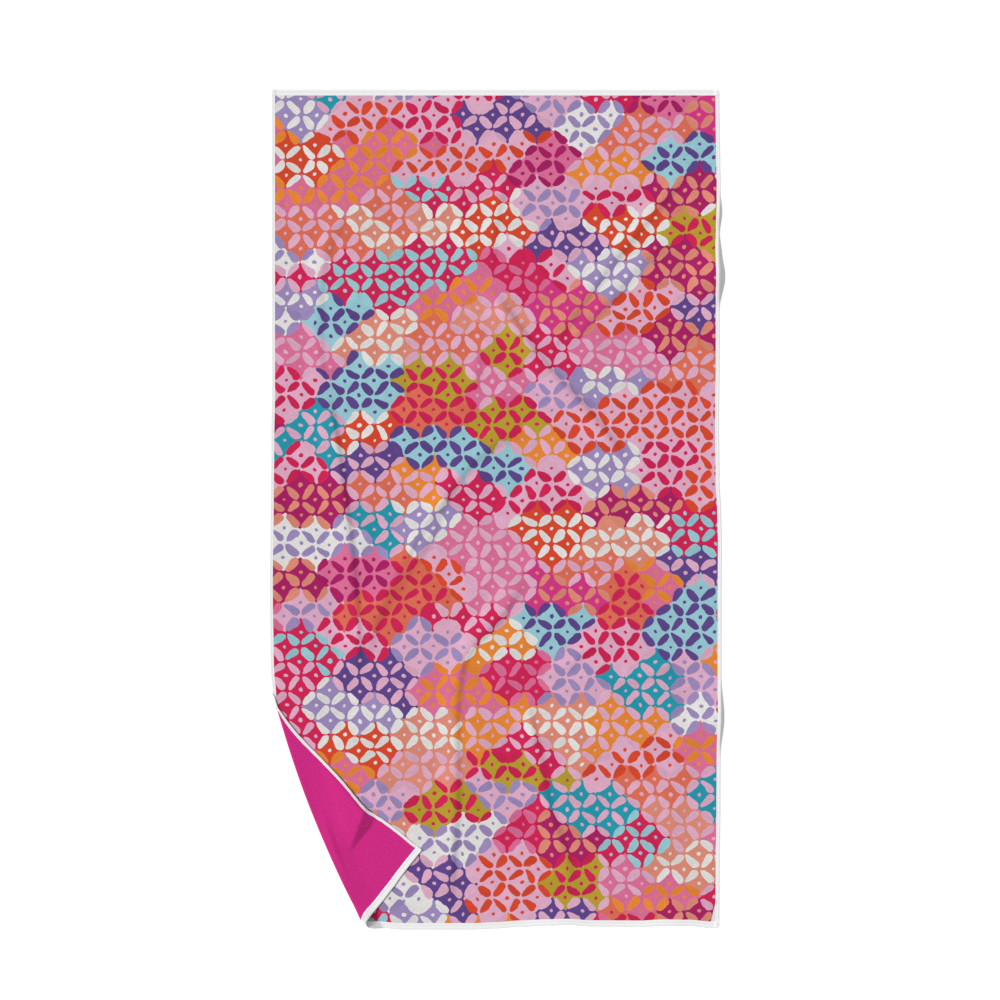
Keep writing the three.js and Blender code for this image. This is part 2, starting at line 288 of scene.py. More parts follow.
def spread(x, y):
    """Moves points of the plan with the outline and gives the printed face's height there."""
    inward = WIDTH - x
    flank = 1 - smooth_step(inward, 0.0, CURL_FLANK)
    curl_out = sum(flank * out * hump(y - middle, half) for middle, half, out, _ in RIGHT_CURLS)
    hem_stands = [(middle, half, rise) for middle, half, _, rise in RIGHT_CURLS]
    curl_up = (1 - flank) * lifted(hem_stands, y, inward)
    right = eased(y, RIGHT_EDGE) * (1 - smooth_step(inward, 0.0, EDGE_REACH))
    left = eased(y, LEFT_EDGE) * (1 - smooth_step(x, 0.0, EDGE_REACH))
    lower = eased(x, LOWER_EDGE) * (1 - smooth_step(y, 0.0, EDGE_REACH))
    depth = np.minimum.reduce([x - SIDE_HEM, WIDTH - SIDE_HEM - x, y - END_HEM, LENGTH - END_HEM - y])
    ramp = 1 - smooth_step(depth, 0.0, HEM_RAMP)
    folds = (crease_height(x, y) + undulation(x, y)) * smooth_step(depth, *CREASE_FADE)
    lift = np.maximum.reduce([curl_up, lifted(LOWER_LIFTS, x, y), folds])
    height = CLOTH_THICKNESS + (HEM_THICKNESS - CLOTH_THICKNESS) * ramp + lift
    return np.stack([x + right + curl_out - left, y - lower, height], axis=1)


def dart_rise(flat):
    """A ridge of the flap: a long gentle side, and a steep flat facet that narrows away from the hem."""
    line = DART_EDGE - DART_END
    reach = math.hypot(*line)
    line = line / reach
    offset = flat - DART_END
    width = DART_WIDTH * np.clip(offset @ line / reach / DART_NARROWS, 0.0, 1.0)
    aside = offset[:, 0] * line[1] - offset[:, 1] * line[0]
    gentle = (1 - np.clip(aside / DART_GENTLE, 0.0, 1.0)) ** DART_GENTLE_CURVE
    steep = 1 - np.clip(-aside / np.maximum(width, 1.0), 0.0, 1.0)
    droop = 1 - DART_DROOP * (1 - smooth_step(flat[:, 0], 0.0, 2 * SIDE_HEM))
    return DART_SLOPE * width * droop * np.where(aside > 0, gentle, steep)


def past_roll(flat):
    """How much cloth lies between the roll's start and each point, outward from the arc's centre."""
    radius = np.hypot(*(flat - ARC_CENTRE).T)
    return np.where(flat[:, 1] > ARC_CENTRE[1], FAR_FROM_ROLL, radius - ROLL_START)


def pulled(flat, past):
    """How far the turned flap is drawn out of true."""
    x, y = flat.T
    none = np.zeros_like(x)
    along_side = y + x * (DART_EDGE - DART_END)[1] / DART_END[0]
    from_side = smooth_step(past / np.maximum(past_roll(np.stack([none, y], axis=1)), 1.0), *PULL_RAMP)
    from_end = smooth_step(past / np.maximum(past_roll(np.stack([x, none], axis=1)), 1.0), *PULL_RAMP)
    squeeze = SIDE_SQUEEZE * smooth_step(x, 0.0, SIDE_HEM) * (1 - smooth_step(x, SIDE_HEM, SQUEEZE_END))
    side = np.where(past > 0, from_side * (eased(along_side, SIDE_PULL) + squeeze), 0.0)
    stretch = END_STRETCH * (1 - smooth_step(y, 0.0, END_HEM))
    end = from_end * smooth_step(past, *END_PULL_START) * (eased(x, END_PULL) - stretch)
    turn = smooth_step(past, *END_PULL_TURN)[:, None]
    end_way = ALONG_CREASE + (END_INWARD - ALONG_CREASE) * turn
    return side[:, None] * SIDE_OUTWARD + end[:, None] * end_way


def rounded(flat):
    """The towel's corners, drawn in from square to round."""
    made = flat.copy()
    for (side, end), radius in CORNER_ROUNDING.items():
        at = np.array([side * WIDTH, end * LENGTH])
        toward = np.array([1 - 2 * side, 1 - 2 * end])
        from_middle = radius - (flat - at) * toward
        inside = (from_middle > 0).all(axis=1)
        square = from_middle[inside]
        square = square * (square.max(axis=1) / np.hypot(square[:, 0], square[:, 1]))[:, None]
        made[inside] = at + (radius - square) * toward
    return made


def place(flat):
    """Where points of the flat cloth's printed face lie, in millimetres."""
    flat = rounded(flat)
    past = past_roll(flat)
    out, up = roll_at(past)
    radial = flat - ARC_CENTRE
    rolled = ARC_CENTRE + radial * ((ROLL_START + out) / np.hypot(*radial.T))[:, None]
    plan = np.where((past > 0)[:, None], rolled, flat) + pulled(flat, past)
    near_foot = smooth_step(past, -FOOT_REACH, 0.0) * (1 - smooth_step(past, *FOOT_TUCK_END))
    plan[:, 0] += FOOT_TUCK * near_foot * (1 - np.clip(plan[:, 1] / TUCK_TOP, 0.0, 1.0)) ** 2
    foot = np.clip(1 + past / FOOT_REACH, 0.0, 1.0) * (1 - smooth_step(past, *FOOT_END))
    foot = foot * (1 - smooth_step(plan[:, 1], *FOOT_TOP))
    placed = spread(plan[:, 0], plan[:, 1])
    up = up * (1 - TOP_SQUASH * smooth_step(flat[:, 1], *TOP_SQUASH_RISE))
    placed[:, 2] += up + smooth_step(past, *DART_START) * dart_rise(flat) + FOOT_LIFT * foot
    flap = past > FLAP_CREASE_START[0]
    if flap.any():
        starts = smooth_step(past[flap], *FLAP_CREASE_START)
        placed[flap, 2] += starts * one_crease(*FLAP_CREASE, plan[flap])
    return placed


def lay(flat):
    """Where points of the flat cloth lie, and the printed face's normal, ahead and across there."""
    across, along = np.array([PROBE, 0.0]), np.array([0.0, PROBE])
    east = place(flat + across) - place(flat - across)
    north = place(flat + along) - place(flat - along)
    normal = np.cross(east, north)
    return place(flat), *(part / np.linalg.norm(part, axis=1)[:, None] for part in (normal, east, north))


# The hem's section: from the outer edge inward, its swell on the printed face and its whole thickness
SIDE_SECTION = np.array([
    (0, 0, 2.2), (1.4, 0, 2.2), (2.4, 0.15, 2.4), (3.5, 0.05, 2.3), (SIDE_STITCH, -0.3, 1.7),
    (5.6, 0.05, 2.3), (6.1, 0.05, 2.3), (6.8, 0, 2.2), (SIDE_HEM, -0.15, 1.3),
])
END_SECTION = np.array([
    (0, 0, 2.2), (1.4, 0, 2.2), (3.5, 0.2, 2.5), (5.6, 0.05, 2.3), (END_STITCH, -0.35, 1.6),
    (7.8, 0.05, 2.3), (9.9, 0.15, 2.4), (11.5, 0, 2.2), (END_HEM, -0.15, 1.3),
])
EDGE_ROUND = np.array([(0, -0.45, -0.9), (0.5, -0.1, -0.2), (1.4, 0, 0)])
SIDE_LINES = np.insert(SIDE_SECTION[:, 0], 1, 0.5)
END_LINES = np.insert(END_SECTION[:, 0], 1, 0.5)


def hem_section(flat):
    """Swell of the printed face and thickness of the cloth at points of the flat cloth."""
    side = np.minimum(flat[:, 0], WIDTH - flat[:, 0])
    end = np.minimum(flat[:, 1], LENGTH - flat[:, 1])
    in_side, in_end = side < SIDE_HEM + WELD, end < END_HEM + WELD
    swell, thickness = (
        np.where(in_end, np.interp(end, END_SECTION[:, 0], END_SECTION[:, column]),
                 np.where(in_side, np.interp(side, SIDE_SECTION[:, 0], SIDE_SECTION[:, column]), plain))
        for column, plain in ((1, 0.0), (2, CLOTH_THICKNESS))
    )
    edge = np.minimum(side, end)
    swell = swell + np.interp(edge, EDGE_ROUND[:, 0], EDGE_ROUND[:, 1])
    thickness = thickness + np.interp(edge, EDGE_ROUND[:, 0], EDGE_ROUND[:, 2])
    overlap = (side < SIDE_HEM - WELD) & (end < END_HEM - WELD)
    turned = flat[:, 0] + flat[:, 1] < CREASE_FOOT
    swell = swell + OVERLAP_STEP * (overlap & ~turned)
    return swell, thickness + OVERLAP_STEP * overlap


def on_circle_across(radius, across):
    return np.stack([across, ARC_CENTRE[1] - np.sqrt(radius**2 - (across - ARC_CENTRE[0]) ** 2)], axis=1)


def on_circle_along(radius, along):
    return np.stack([ARC_CENTRE[0] - np.sqrt(radius**2 - (along - ARC_CENTRE[1]) ** 2), along], axis=1)


def corner_row(past):
    """A row of the turned corner from left side to lower end, on a circle about the arc's centre."""
    radius = ROLL_START + past
    left = on_circle_across(radius, SIDE_LINES)
    lower = on_circle_along(radius, END_LINES[::-1])
    first, last = (math.atan2(*(ARC_CENTRE - point)[::-1]) for point in (left[-1], lower[0]))
    angles = np.linspace(first, last, CORNER_STEPS + 1)[1:-1]
    between = ARC_CENTRE - radius * np.stack([np.cos(angles), np.sin(angles)], axis=1)
    return np.concatenate([left, between, lower])


def corner_grids():
    """The turned corner's rows, the joins to the towel's own corner, and its square of hem."""
    hem_corner = math.hypot(*(np.array([SIDE_HEM, END_HEM]) - ARC_CENTRE)) - ROLL_START
    pasts = np.concatenate([
        ROWS_BEFORE_ROLL,
        np.linspace(0.0, ROLL_LENGTH, ROLL_STEPS + 1),
        np.linspace(ROLL_LENGTH, SETTLED_AT, SETTLE_STEPS + 1)[1:],
        np.linspace(SETTLED_AT, hem_corner, FLAP_ROWS + 1)[1:],
    ])
    rows = np.stack([corner_row(past) for past in pasts])
    left_ends = rows[-1, :len(SIDE_LINES)]
    lower_ends = rows[-1, -len(END_LINES):]
    square = np.stack(np.meshgrid(SIDE_LINES, END_LINES), axis=2)
    return [rows, np.stack([left_ends, square[-1]]), np.stack([lower_ends[::-1], square[:, -1]]), square]


def panel_grid():
    """The rest of the cloth: columns from the corner's first row and the lower end up to the upper end."""
    feet = corner_row(ROWS_BEFORE_ROLL[0])
    lower = np.linspace(feet[-1, 0], WIDTH - SIDE_HEM, PLAIN_STEPS + 1)[1:]
    right = WIDTH - SIDE_LINES[-2::-1]
    foot_x = np.concatenate([feet[:, 0], lower, right])
    foot_y = np.concatenate([feet[:, 1], np.zeros(len(lower) + len(right))])
    plain = len(foot_x) - 2 * len(SIDE_LINES)
    top_x = np.concatenate([
        SIDE_LINES, np.linspace(SIDE_HEM, WIDTH - SIDE_HEM, plain + 2)[1:-1], WIDTH - SIDE_LINES[::-1],
    ])
    rows = []
    for line in END_LINES:
        rows.append((foot_x, foot_y + line * np.maximum(0.0, 1 - foot_y / END_HEM)))
    start_y = np.maximum(foot_y, END_HEM)
    for share in np.linspace(0.0, 1.0, PANEL_ROWS + 1)[1:]:
        rows.append((foot_x + (top_x - foot_x) * share, start_y + (LENGTH - END_HEM - start_y) * share))
    for line in END_LINES[-2::-1]:
        rows.append((top_x, np.full_like(top_x, LENGTH - line)))
    return np.stack([np.stack(row, axis=1) for row in rows])


def kept_lines(total, loose, step):
    """All lines of the hems, and every step-th of the loose runs between them."""
    return [
        line for line in range(total)
        if all(not start < line < stop or (line - start) % step == 0 for start, stop in loose)
    ]


def panel_faces(panel, keeps):
    """Faces between kept lines. A side on the outline or the turned corner has all the grid's points."""
    height, width = panel.shape[:2]
    side_hem, end_hem = len(SIDE_LINES) - 1, len(END_LINES) - 1
    corner_end = side_hem + CORNER_STEPS
    rows = kept_lines(height, [(end_hem, end_hem + PANEL_ROWS)], keeps[0])
    plain_start = corner_end + end_hem
    loose = [(side_hem, corner_end), (plain_start, plain_start + PLAIN_STEPS)]
    columns = kept_lines(width, loose, keeps[1])
    faces = []
    for low, high in zip(rows, rows[1:]):
        for left, right in zip(columns, columns[1:]):
            beside_corner = right <= corner_end
            if beside_corner and low < end_hem:
                continue
            on_foot = low == 0 or (beside_corner and low == end_hem)
            foot = range(left, right) if on_foot else (left,)
            east = range(low, high) if right == width - 1 else (low,)
            head = range(right, left, -1) if high == height - 1 else (right,)
            west = range(high, low, -1) if left == 0 else (high,)
            faces.append(
                [low * width + line for line in foot] + [line * width + right for line in east]
                + [high * width + line for line in head] + [line * width + left for line in west]
            )
    return faces


def grid_faces(grid, first):
    height, width = grid.shape[:2]
    return [
        [at, at + 1, at + width + 1, at + width]
        for row in range(height - 1)
        for at in range(first + row * width, first + row * width + width - 1)
    ]


def upward(face, flat):
    """The face's points without doubles, in the order that turns it up, or nothing where none are left."""
    face = [point for point, before in zip(face, face[-1:] + face[:-1]) if point != before]
    if len(set(face)) < 3:
        return None
    x, y = flat[face].T
    turn = (x * np.roll(y, -1) - y * np.roll(x, -1)).sum()
    return face if turn > 0 else face[::-1]


def flat_cloth():
    """The flat towel: its points, and the faces of its printed side and of its back."""
    grids = [panel_grid(), *corner_grids()]
    points = np.concatenate([grid.reshape(-1, 2) for grid in grids])
    _, kept, number = np.unique(np.round(points / WELD).astype(np.int64), axis=0,
                                return_index=True, return_inverse=True)
    number = number.ravel()
    flat = points[kept]
    corner, first = [], grids[0].shape[0] * grids[0].shape[1]
    for grid in grids[1:]:
        corner += grid_faces(grid, first)
        first += grid.shape[0] * grid.shape[1]
    sides = []
    for keeps in (FRONT_KEEPS, BACK_KEEPS):
        faces = [upward([int(number[point]) for point in face], flat)
                 for face in panel_faces(grids[0], keeps) + corner]
        sides.append([face for face in faces if face])
    return flat, *sides


def outline_of(faces):
    """The edges that one face only has."""
    edges = {}
    for face in faces:
        for pair in zip(face, face[1:] + face[:1]):
            if edges.pop(pair[::-1], None) is None:
                edges[pair] = True
    return list(edges)


def new_piece(name, points, faces, finishes):
    """A piece from its points and faces, alone selected."""
    mesh = bpy.data.meshes.new(name)
    mesh.from_pydata(points, [], faces)
    for finish in finishes:
        mesh.materials.append(finish)
    piece = bpy.data.objects.new(name, mesh)
    bpy.context.collection.objects.link(piece)
    bpy.ops.object.select_all(action="DESELECT")
    piece.select_set(True)
    bpy.context.view_layer.objects.active = piece
    return piece


def make_towel(materials, centre):
    """The cloth in its folds: the printed side, the back and the edge between them."""
    flat, front_faces, back_faces = flat_cloth()
    placed, normal, _, _ = lay(flat)
    swell, thickness = hem_section(flat)
    front = placed + normal * swell[:, None]
    back = placed + normal * (swell - thickness)[:, None]
    coarse = past_roll(flat) < ROWS_BEFORE_ROLL[0] - WELD
    back[:, 2] -= np.where(coarse, BACK_SLACK * crease_height(*flat.T), 0.0)
    back[:, 2] = np.maximum(back[:, 2], 0.0)
    count = len(flat)
    faces = list(front_faces)
    faces += [[count + point for point in face[::-1]] for face in back_faces]
    sides = np.array([PRINT] * len(front_faces) + [BACK] * len(back_faces))
    edge = [[end, start, count + start, count + end] for start, end in outline_of(front_faces)]
    faces += edge

    cloth_points = np.concatenate([flat, flat])
    middles = np.array([cloth_points[face].mean(axis=0) for face in faces[:len(sides)]])
    side = np.minimum(middles[:, 0], WIDTH - middles[:, 0])
    end = np.minimum(middles[:, 1], LENGTH - middles[:, 1])
    hemmed = (side < SIDE_HEM) | (end < END_HEM)
    finish = np.append(np.where(hemmed, HEM, sides), np.full(len(edge), HEM))

    used, number = np.unique(np.concatenate([np.array(face) for face in faces]), return_inverse=True)
    points = (np.concatenate([front, back])[used] * MM + [*centre, 0.0]).tolist()
    ends = np.cumsum([len(face) for face in faces])
    faces = [part.tolist() for part in np.split(number, ends[:-1])]
    towel = new_piece("towel_cloth", points, faces, [materials[name] for name in FINISHES])
    on_flat = (cloth_points[used][number] * MM).ravel()
    towel.data.uv_layers.new(name="flat cloth").data.foreach_set("uv", on_flat)
    towel.data.polygons.foreach_set("material_index", finish.astype(np.int32))
    towel.data.update()
    bpy.ops.object.shade_smooth_by_angle(angle=SMOOTH_BELOW)
    return towel


def row_points():
    """Where the stitches are, as (middle, direction) on the flat cloth: the ends' rows, then the sides'."""
    rows = []
    on_end = int((WIDTH - 2 * STITCH_MARGIN) / STITCH_PITCH)
    on_side = int((LENGTH - 2 * END_HEM) / STITCH_PITCH)
    for across, along, step, count in (
        (STITCH_MARGIN, END_STITCH, (1, 0), on_end),
        (STITCH_MARGIN, LENGTH - END_STITCH, (1, 0), on_end),
        (SIDE_STITCH, END_HEM, (0, 1), on_side),
        (WIDTH - SIDE_STITCH, END_HEM, (0, 1), on_side),
    ):
        run = (np.arange(count) + 0.5)[:, None] * STITCH_PITCH * np.array(step)
        rows.append((np.array([across, along]) + run, np.tile(np.array(step, float), (count, 1))))
    return tuple(np.concatenate(part) for part in zip(*rows))


def stitch_shape():
    """One stitch: a short round thread along X, tapering into the cloth at both ends."""
    around = 6
    last = len(STITCH_RINGS) - 1
    points = [
        (share * STITCH_LENGTH, STITCH_RADIUS * wide * math.cos(turn),
         STITCH_RADIUS * wide * math.sin(turn))
        for share, wide in STITCH_RINGS
        for turn in np.arange(around) * 2 * math.pi / around
    ]
    faces = [
        (ring * around + k, ring * around + (k + 1) % around,
         (ring + 1) * around + (k + 1) % around, (ring + 1) * around + k)
        for ring in range(last)
        for k in range(around)
    ]
    faces.append(tuple(range(around))[::-1])
    faces.append(tuple(range(last * around, (last + 1) * around)))
    return np.array(points), faces


def make_stitches(material, centre):
    middle, direction = row_points()
    at, normal, east, north = lay(middle)
    forward = np.where(direction[:, :1] > 0, east, north)
    across = np.cross(normal, forward)
    swell, thickness = hem_section(middle)
    shape, shape_faces = stitch_shape()
    points, faces = [], []
    for face_at in (swell - STITCH_SUNK, swell - thickness + STITCH_SUNK):
        core = at + normal * face_at[:, None]
        for start, ahead, over, up in zip(core, forward, across, normal):
            first = len(points)
            made = start + shape[:, :1] * ahead + shape[:, 1:2] * over + shape[:, 2:] * up
            made[:, 2] = np.maximum(made[:, 2], 0.0)
            points.extend(map(tuple, made * MM + [*centre, 0.0]))
            faces.extend(tuple(first + index for index in face) for face in shape_faces)
    stitches = new_piece("hem_stitches", points, faces, [material])
    bpy.ops.object.shade_smooth()
    return stitches


# Colours as they look under the studio light, in sRGB
STUDIO_BRIGHTNESS = 1.12
CRIMSON = (0.80, 0.12, 0.32)
HOT_PINK = (0.80, 0.20, 0.50)
DEEP_MAGENTA = (0.65, 0.10, 0.38)
LIGHT_PINK = (0.86, 0.66, 0.76)
MID_PINK = (0.84, 0.42, 0.58)
WHITE = (0.88, 0.87, 0.86)
SALMON = (0.85, 0.53, 0.45)
CORAL = (0.85, 0.42, 0.32)
RED_ORANGE = (0.83, 0.27, 0.16)
ORANGE = (0.89, 0.52, 0.19)
LAVENDER = (0.60, 0.53, 0.72)
PURPLE = (0.36, 0.26, 0.53)
AQUA = (0.58, 0.77, 0.81)
TEAL = (0.12, 0.58, 0.66)
OLIVE = (0.70, 0.60, 0.17)
BACK_MAGENTA = (0.81, 0.17, 0.53)
BACK_CRIMSON = (0.79, 0.13, 0.48)
HEM_WHITE = (0.935, 0.935, 0.935)
THREAD_WHITE = (0.86, 0.86, 0.87)

# Ground and petal colour of each kind of patch
PATCHES = [
    (CRIMSON, LIGHT_PINK), (MID_PINK, DEEP_MAGENTA), (LAVENDER, WHITE), (LIGHT_PINK, CRIMSON),
    (ORANGE, LIGHT_PINK), (SALMON, LIGHT_PINK), (AQUA, PURPLE), (MID_PINK, LIGHT_PINK),
    (RED_ORANGE, WHITE), (DEEP_MAGENTA, SALMON), (LIGHT_PINK, LAVENDER), (CORAL, CRIMSON),
    (SALMON, WHITE), (PURPLE, LIGHT_PINK), (CRIMSON, AQUA), (LIGHT_PINK, RED_ORANGE),
    (ORANGE, WHITE), (HOT_PINK, SALMON), (OLIVE, CRIMSON), (TEAL, LIGHT_PINK),
    (CORAL, LIGHT_PINK), (MID_PINK, ORANGE), (CRIMSON, MID_PINK), (WHITE, LAVENDER),
]
# The print's sizes in metres, and those of petals and seeds in spacings
PETAL_SPACING = 0.040
LATTICE_TURN = math.radians(45)
PETAL_HALF_LENGTH = 0.385
PETAL_HALF_WIDTH = (0.15, 0.19)
PETAL_SWELL = 0.7  # wider toward one tip
PETAL_BLUNT = 2.8
PETAL_EDGE = (0.93, 1.07)
PETAL_TILT = 0.11
PETAL_STRAY = 0.016
PETAL_SHADES = (0.88, 1.05)
PETAL_STREAKS = (15.0, 2.0)
SEED_RADII = (0.068, 0.09775)
SEED_EDGE = 0.008
SEED_SHADES = (0.9, 1.05)
GROUND_SHADES = (0.95, 1.03)
PATCH_ACROSS = 0.125
PATCH_ALONG = 0.072
# How the painted outlines wander: waves to a metre, and how far
WANDERS = [(22.0, 0.016), (140.0, 0.0022), (520.0, 0.0016)]
# Bare cloth between the print and the hem at the lower right corner
BARE_WIDTH = 0.009
BARE_TOP = 0.048
BARE_EDGE = 0.0006

# Grains to a metre: the pile's tufts and dye, the back's two reds, specks and clouds, hem and thread
TUFTS = 420.0
SOAKING = 70.0
BACK_DYE = 260.0
BACK_DYE_RANGE = (0.35, 0.65)
BACK_SPECKS = 230.0
BACK_SPECK_RANGE = (0.24, 0.32)
BACK_SPECK_SHADE = 0.84
BACK_CLOUDS = 12.0
HEM_FIBRES = 700.0
THREAD_TWIST = 1600.0
GRAIN_RANGE = (0.3, 0.7)  # nearly all of a grain's values
# How dark and how light each grain shades its cloth
TUFT_SHADES = (0.84, 1.10)
SOAKED_SHADES = (0.95, 1.04)
STREAK_SHADES = (0.94, 1.05)
BACK_TUFT_SHADES = (0.94, 1.05)
BACK_CLOUD_SHADES = (0.985, 1.015)
HEM_SHADES = (0.96, 1.02)
THREAD_SHADES = (0.93, 1.03)

# The studio: a sun from the upper left, soft light all round and a floor that glows a little
TOWARD_LAMP = Vector((-0.90, 0.36, 0.76))
LAMP_STRENGTH = 3.42
LAMP_SPREAD = math.radians(14)
SOFT_LIGHT = 0.45
BACKDROP_LIGHT = 0.6  # what the camera sees behind the floor is brighter by this
FLOOR_SIZE = 30.0
FLOOR_GREY = (0.35, 0.35, 0.35, 1.0)
FLOOR_GLOW = 0.8
PURE_WHITE = (1.0, 1.0, 1.0, 1.0)
CAMERA_AT = (0.0055, 0.0179, 5.32)
CAMERA_LENS = 100.0
CAMERA_SENSOR = 36.0


def paint(colour):
    """The cloth's own linear colour that looks like this one under the studio light."""
    linear = [c / 12.92 if c <= 0.04045 else ((c + 0.055) / 1.055) ** 2.4 for c in colour]
    return (*(c / STUDIO_BRIGHTNESS for c in linear), 1.0)


class Weave:
    """A material's nodes, added one at a time."""

    def __init__(self, name):
        self.material = bpy.data.materials.new(name)
        self.material.use_nodes = True
        self.tree = self.material.node_tree
        self.shader = self.tree.nodes["Principled BSDF"]

    def add(self, kind, links=(), **settings):
        node = self.tree.nodes.new(kind)
        for name, value in settings.items():
            setattr(node, name, value)
        for name, value in dict(links).items():
            self.join(value, node.inputs[name])
        return node

    def join(self, value, socket):
        if isinstance(value, bpy.types.NodeSocket):
            self.tree.links.new(value, socket)
        else:
            socket.default_value = value

    def sum(self, operation, first, second=0.0, third=0.0):
        return self.add("ShaderNodeMath", {0: first, 1: second, 2: third}, operation=operation).outputs[0]

    def shift(self, first, second):
        return self.add("ShaderNodeVectorMath", {0: first, 1: second}, operation="ADD").outputs["Vector"]

    def scaled(self, vector, scale):
        links = {"Vector": vector, "Scale": scale}
        return self.add("ShaderNodeVectorMath", links, operation="SCALE").outputs["Vector"]

    def grain(self, where, scale, detail=2.0, output="Fac"):
        links = {"Vector": where, "Scale": scale, "Detail": detail}
        return self.add("ShaderNodeTexNoise", links).outputs[output]

    def span(self, value, low, high, to_low, to_high, smooth=False):
        links = {"Value": value, "From Min": low, "From Max": high, "To Min": to_low, "To Max": to_high}
        kind = "SMOOTHSTEP" if smooth else "LINEAR"
        return self.add("ShaderNodeMapRange", links, interpolation_type=kind).outputs["Result"]

    def mottle(self, grain, low, high):
        """The grain as a shade between these two."""
        return self.span(grain, *GRAIN_RANGE, low, high)

    def blend(self, share, first, second):
        node = self.add("ShaderNodeMix", data_type="RGBA")
        self.join(share, node.inputs["Factor"])
        self.join(first, node.inputs[6])
        self.join(second, node.inputs[7])
        return node.outputs[2]

    def either(self, share, first, second):
        """first where share is 0, second where it is 1."""
        node = self.add("ShaderNodeMix", data_type="FLOAT")
        for value, socket in ((share, 0), (first, 2), (second, 3)):
            self.join(value, node.inputs[socket])
        return node.outputs[0]

    def tone(self, colour, value):
        links = {"Color": colour, "Value": value}
        return self.add("ShaderNodeHueSaturation", links).outputs["Color"]

    def pile(self, height, depth, strength):
        links = {"Height": height, "Distance": depth, "Strength": strength}
        self.join(self.add("ShaderNodeBump", links).outputs["Normal"], self.shader.inputs["Normal"])

    def finish(self, roughness, sheen, specular=0.15):
        self.shader.inputs["Roughness"].default_value = roughness
        self.shader.inputs["Sheen Weight"].default_value = sheen
        self.shader.inputs["Sheen Roughness"].default_value = 0.5
        self.shader.inputs["Specular IOR Level"].default_value = specular
        return self.material


def patch_ramp(weave, value, which):
    """One flat colour for each kind of patch."""
    ramp = weave.add("ShaderNodeValToRGB", {"Fac": value})
    ramp.color_ramp.interpolation = "CONSTANT"
    stops = ramp.color_ramp.elements
    for index, pair in enumerate(PATCHES):
        stop = stops[index] if index < 2 else stops.new(index / len(PATCHES))
        stop.position = index / len(PATCHES)
        stop.color = paint(pair[which])
    return ramp.outputs["Color"]


